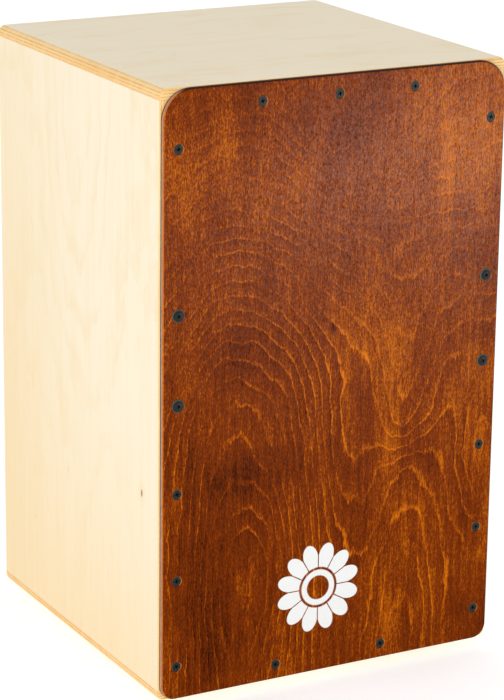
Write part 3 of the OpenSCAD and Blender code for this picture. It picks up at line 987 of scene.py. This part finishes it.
def dome_screw(head_d, head_h, shank_d, screw_l, recess, pitch, flange=0.0):
    """Dome headed cross-head screw with its head's underside at z = 0; flange is the rim's share of it."""
    rim = head_d / 2
    lip = head_h * 0.42
    edge = 0.2 * MM
    crown = rim * (1 - flange)
    profile = [(rim - edge, 0), (rim, edge), (rim, lip - edge), (rim - edge, lip)]
    if flange:
        profile += [(crown + edge, lip), (crown, lip + 0.05 * MM)]
    radius, base = profile[-1]
    for step in range(1, 6):
        turn = math.radians(90 * step / 6)
        profile.append((radius * math.cos(turn), base + (head_h - base) * math.sin(turn)))
    profile.append((radius * 0.1, head_h))
    head = turned("Head", profile, 40)
    cross_cut(head, recess, recess * 0.22, head_h * 0.9, head_h)
    screw = threaded("Dome screw", head, shank_d, screw_l, pitch, 0.4 * MM)
    rub(screw, rim, lip, 0.4 * MM)
    return screw


def driven(name, node, screw, axis, seat, facing, draw, material):
    """Copies of a screw at all of a node's screws, each turned at random; seat is its place along an axis."""
    places = []
    for corners in solids(node):
        spot = middle(corners)
        spot[axis] = seat
        places.append(Matrix.Translation(spot) @ facing @ Matrix.Rotation(draw.uniform(0, math.pi), 4, "Z"))
    return settled(joined(name, copied(screw, *places)), node, material)


class DRUM_OT_screws(bpy.types.Operator):
    """Models the black cross-head screws of the front plate"""

    bl_idname = "drum.screws"
    bl_label = "Make plate screws"

    def execute(self, context):
        sizes = context.scene.drum_screws
        finish = black_steel("Blackened steel")
        draw = random.Random(7)
        low, high = solids("front_plate_screws")[0]
        screw = countersunk_screw(sizes, high.y - low.y)
        driven("plate_screws", "front_plate_screws", screw, Y, low.y, FORWARD, draw, finish)
        low, high = solids("bearing_block_screws")[0]
        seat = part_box("front_plate")[0].y
        screw = dome_screw(high.x - low.x, seat - low.y, sizes.dome_shank, high.y - seat, sizes.recess,
                           sizes.pitch, sizes.flange)
        driven("block_screws", "bearing_block_screws", screw, Y, seat, FORWARD, draw, finish)
        return {"FINISHED"}


# ---- Snares ----


def snare_coils(name, node, sizes, material):
    """The coiled strands of one set, each wound straight and then leant and placed."""
    boxes = solids(node)
    low, high = boxes[0]
    lean = math.asin((high.y - low.y - sizes.coil) / (high.z - low.z))
    strand_l = (high.z - low.z - sizes.coil * math.sin(lean)) / math.cos(lean)
    wound = sizes.coil - sizes.wire
    turns = int((strand_l - sizes.wire) / sizes.pitch)
    coil = coiled("Strand", wound / 2, sizes.wire, sizes.pitch, turns, 10, 5)
    coil.data.transform(Matrix.Translation((0, 0, sizes.wire / 2)))
    places = []
    for low, high in boxes:
        foot = ((low.x + high.x) / 2, high.y - sizes.coil / 2 * math.cos(lean),
                low.z + sizes.coil / 2 * math.sin(lean))
        places.append(Matrix.Translation(foot) @ Matrix.Rotation(lean, 4, "X"))
    return settled(joined(name, copied(coil, *places)), node, material, 60)


def snare_clip(name, node, sizes, material):
    """A strip with a screw ear at each end, folded up from below over the feet of the strands."""
    low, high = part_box(node)
    sheet = sizes.sheet
    left, right = low.x + sizes.ear, high.x - sizes.ear
    clip = block(name, Vector((left, high.y - sheet, low.z)), high - Vector((sizes.ear, 0, 0)))
    for side, reach in ((left, -sizes.ear), (right, sizes.ear)):
        choose(clip, "polygons", lies(X, side))
        bpy.ops.mesh.extrude_region_move(TRANSFORM_OT_translate={"value": (reach, 0, 0)})
        done()
    fold = (high.y - low.y) / 2
    leaned_in = 0.35 * MM
    lip = 0.6 * MM

    def under_middle(corners):
        return all(left - TOUCH < corner.x < right + TOUCH for corner in corners)

    choose(clip, "polygons", every(lies(Z, low.z), under_middle))
    bpy.ops.mesh.spin(steps=8, angle=math.pi, center=(0, high.y - fold, low.z), axis=(-1, 0, 0))
    flap = {"value": (0, -leaned_in, high.z - low.z - fold - lip)}
    bpy.ops.mesh.extrude_region_move(TRANSFORM_OT_translate=flap)
    outward()
    done()

    def through_sheet(corners):
        return abs(corners[0].y - corners[-1].y) > sheet / 2

    rounded(clip, every(either(lies(X, low.x), lies(X, high.x)), through_sheet), sizes.corner, 5)
    hole = turned("Ear hole", [(sizes.ear_hole / 2, -PAST), (sizes.ear_hole / 2, PAST)], 24)
    spots = seen_from_front("snare_clip_screws", high.y)
    drilled_forward(clip, hole, [spot for spot in spots if low.x < spot.x < high.x])
    return settled(clip, node, material, 40)


class DRUM_OT_snares(bpy.types.Operator):
    """Models the snare coils, the folded clips that hold them and the clips' screws"""

    bl_idname = "drum.snares"
    bl_label = "Make snares"

    def execute(self, context):
        sizes = context.scene.drum_snares
        zinc = plated_steel("Zinc plated steel", sizes.steel, 0.34, (60, 900, 900))
        wire = plated_steel("Drawn wire", sizes.wire_tone, 0.24, (700, 700, 700))
        for side in ("left", "right"):
            snare_clip(side + "_clip", side + "_snare_clip", sizes, zinc)
            snare_coils(side + "_snare_coils", side + "_snare_strands", sizes, wire)
        low, high = solids("snare_clip_screws")[0]
        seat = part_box("left_snare_clip")[1].y - sizes.sheet
        screw = dome_screw(high.x - low.x, seat - low.y, sizes.screw, high.y - seat, sizes.recess,
                           sizes.screw_pitch)
        driven("clip_screws", "snare_clip_screws", screw, Y, seat, FORWARD, random.Random(11), zinc)
        return {"FINISHED"}


# ---- Feet ----


class DRUM_OT_feet(bpy.types.Operator):
    """Models the four rubber feet and their screws"""

    bl_idname = "drum.feet"
    bl_label = "Make feet"

    def execute(self, context):
        sizes = context.scene.drum_feet
        rubber = moulded_rubber("Moulded rubber")
        low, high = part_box("front_left_foot")
        foot_h = high.z - low.z
        upper = (high.x - low.x) / 2
        lip, inner = sizes.lip, sizes.well_lip
        well, hole = sizes.well / 2, sizes.hole / 2
        floor = sizes.well_depth - foot_h
        bevel = 0.6 * MM
        fillet = 0.5 * MM
        profile = [(hole, 0), (upper - bevel, 0), (upper, -bevel)]
        profile += arc((upper - sizes.taper - lip, lip - foot_h), lip, 0, -90, 6)
        profile += arc((well + inner, inner - foot_h), inner, 270, 180, 4)
        profile += [(well, floor - fillet), (well - fillet, floor), (hole, floor)]
        foot = turned("Foot", profile, 56)
        nodes = [end + "_" + side + "_foot" for end in ("front", "rear") for side in ("left", "right")]
        spots = [middle(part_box(node)) for node in nodes]
        twins = copied(foot, *[Matrix.Translation((spot.x, spot.y, high.z)) for spot in spots])
        for node, twin in zip(nodes, twins):
            settled(named(twin, node.replace("_foot", "_rubber_foot")), node, rubber)
        seat = low.z + sizes.well_depth
        low, high = solids("foot_screws")[0]
        steel = plated_steel("Foot screw steel", context.scene.drum_snares.steel, 0.36, (500, 500, 500))
        screw = dome_screw(high.x - low.x, seat - low.z, sizes.screw, high.z - seat, sizes.recess,
                           sizes.screw_pitch)
        driven("foot_screw_set", "foot_screws", screw, Z, seat, UPSIDE_DOWN, random.Random(3), steel)
        return {"FINISHED"}


# ---- Inner woodwork ----


class DRUM_OT_woods(bpy.types.Operator):
    """Finishes the battens, the bearing blocks and the snare bar"""

    bl_idname = "drum.woods"
    bl_label = "Finish inner woodwork"

    def execute(self, context):
        draw = random.Random(5)
        for node, slot in SLOT.items():
            low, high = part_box(node)
            size = high - low
            along = max((X, Y, Z), key=lambda axis: size[axis])
            first, second = [axis for axis in (X, Y, Z) if axis != along]
            if slot == "pine":
                pith = (low[first] + draw.uniform(-30, 50) * MM, low[second] - draw.uniform(8, 45) * MM)
                dressed(node, batten_pine("Pine " + node, along, pith))
            elif slot == "beech":
                dressed(node, turned_beech("Beech " + node, along))
        return {"FINISHED"}


# ---- Stage ----

# Where the camera stands, and how far it is turned to the right, tilted down and rolled, in degrees
CAMERA_PLACE = (-1.0474, -1.9307, 0.8905)
CAMERA_ANGLES = (28.67, 16.65, 0.72)


def soft_light(name, place, target, size, power):
    """A rectangular area light aimed at a point."""
    data = bpy.data.lights.new(name, "AREA")
    data.shape = "RECTANGLE"
    data.size, data.size_y = size
    data.energy = power
    lamp = bpy.data.objects.new(name, data)
    bpy.context.scene.collection.objects.link(lamp)
    aim = (Vector(target) - Vector(place)).to_track_quat("-Z", "Y")
    lamp.matrix_world = Matrix.Translation(place) @ aim.to_matrix().to_4x4()
    lamp.visible_camera = False
    return lamp


class DRUM_OT_stage(bpy.types.Operator):
    """Sets up the camera, the pale floor and the soft lights"""

    bl_idname = "drum.stage"
    bl_label = "Set stage"

    def execute(self, context):
        sizes = context.scene.drum_stage
        data = bpy.data.cameras.new("Camera")
        data.lens = sizes.lens
        data.clip_end = 50
        camera = bpy.data.objects.new("Camera", data)
        context.scene.collection.objects.link(camera)
        yaw, pitch, roll = map(math.radians, CAMERA_ANGLES)
        turn = (Matrix.Rotation(-yaw, 4, "Z") @ Matrix.Rotation(math.pi / 2 - pitch, 4, "X")
                @ Matrix.Rotation(roll, 4, "Z"))
        camera.matrix_world = Matrix.Translation(CAMERA_PLACE) @ turn
        context.scene.camera = camera
        only()
        bpy.ops.mesh.primitive_plane_add(size=16, location=(0, 0, 0))
        floor = added("Floor")
        graph = Graph("Pale floor")
        cloud = graph.even(1.2, 2, 0.5, 0.4)
        shade = tuple(part * 0.96 for part in sizes.floor)
        graph.set(Base_Color=graph.mix(0.5 + cloud, sizes.floor, shade), Roughness=0.8,
                  Specular_IOR_Level=0.1, Emission_Color=(1.0, 1.0, 1.0), Emission_Strength=sizes.glow)
        floor.data.materials.append(graph.material)
        world = bpy.data.worlds.new("Studio")
        context.scene.world = world
        world.use_nodes = True
        sky = world.node_tree.nodes["Background"]
        sky.inputs["Color"].default_value = (1, 1, 1, 1)
        sky.inputs["Strength"].default_value = sizes.sky
        soft_light("Key", place=(-1.3, -1.6, 1.25), target=(0, 0, 0.25), size=(1.3, 1.3), power=sizes.key)
        sheen = soft_light("Sheen", place=(0.72, -1.10, 0.22), target=(0.08, -0.15, 0.38), size=(0.5, 0.4),
                           power=sizes.sheen)
        sheen.visible_diffuse = False
        context.scene.view_settings.view_transform = "Standard"
        return {"FINISHED"}


# ---- Add-on ----

GROUPS = (("drum_boards", DrumBoards, DRUM_OT_boards), ("drum_plate", DrumPlate, DRUM_OT_plate),
          ("drum_screws", DrumScrews, DRUM_OT_screws), ("drum_snares", DrumSnares, DRUM_OT_snares),
          ("drum_feet", DrumFeet, DRUM_OT_feet), ("drum_woods", DrumWoods, DRUM_OT_woods),
          ("drum_stage", DrumStage, DRUM_OT_stage))


class DRUM_PT_sidebar(bpy.types.Panel):
    """Lists the drum's sizes and colours and the operators that make its pieces"""

    bl_idname = "DRUM_PT_sidebar"
    bl_label = "Box drum"
    bl_space_type = "VIEW_3D"
    bl_region_type = "UI"
    bl_category = "Box drum"

    def draw(self, context):
        for name, group, operator in GROUPS:
            box = self.layout.box()
            for prop in group.__annotations__:
                box.prop(getattr(context.scene, name), prop)
            box.operator(operator.bl_idname)


def register():
    for name, group, operator in GROUPS:
        bpy.utils.register_class(group)
        bpy.utils.register_class(operator)
        setattr(bpy.types.Scene, name, PointerProperty(type=group))
    bpy.utils.register_class(DRUM_PT_sidebar)


def unregister():
    bpy.utils.unregister_class(DRUM_PT_sidebar)
    for name, group, operator in reversed(GROUPS):
        delattr(bpy.types.Scene, name)
        bpy.utils.unregister_class(operator)
        bpy.utils.unregister_class(group)


def main():
    register()
    bpy.ops.drum.boards()
    bpy.ops.drum.plate()
    bpy.ops.drum.screws()
    bpy.ops.drum.snares()
    bpy.ops.drum.feet()
    bpy.ops.drum.woods()
    bpy.ops.drum.stage()


if __name__ == "__main__":
    main()
